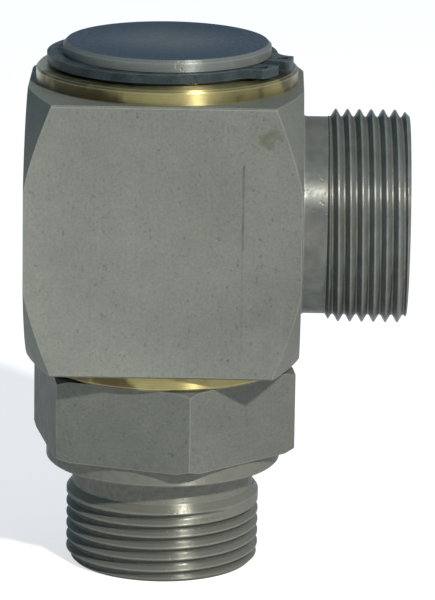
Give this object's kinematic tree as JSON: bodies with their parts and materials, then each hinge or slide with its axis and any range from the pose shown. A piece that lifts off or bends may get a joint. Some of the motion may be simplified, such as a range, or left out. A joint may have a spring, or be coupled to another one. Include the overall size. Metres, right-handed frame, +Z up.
{
  "type": "hydraulic rotary union",
  "caption": "Right-angle hydraulic swivel: square steel block with a threaded side port turning on a hollow hexagon spindle with a threaded stud, held by a retaining ring.",
  "frame": {"origin": "centre of the spindle's bore at the stud's end face", "axes": "+Z up the spindle, from the stud to the retaining ring; +X out of the side port at rest"},
  "size_m": [0.064, 0.0464, 0.0904],
  "materials": {
    "spindle_steel": "turned and milled, light grey",
    "housing_steel": "dull milled grey",
    "bearing_brass": "turned, slightly tarnished",
    "spring_steel": "black phosphated",
    "slipper_plastic": "bronze-filled PTFE",
    "seal_rubber": "moulded black rubber"
  },
  "bodies": {
    "spindle_body": {"spindle": "spindle_steel", "retaining_ring": "spring_steel", "upper_slipper_ring": "slipper_plastic", "lower_slipper_ring": "slipper_plastic", "upper_energiser": "seal_rubber", "lower_energiser": "seal_rubber", "upper_dust_ring": "seal_rubber", "lower_dust_ring": "seal_rubber", "stud_face_seal": "seal_rubber"},
    "housing_body": {"housing": "housing_steel", "upper_bush": "bearing_brass", "lower_bush": "bearing_brass"}
  },
  "joints": [
    {"name": "swivel", "type": "hinge", "parent": "spindle_body", "child": "housing_body", "pos_m": [0, 0, 0.0607], "axis": [0, 0, 1], "continuous": true}
  ]
}
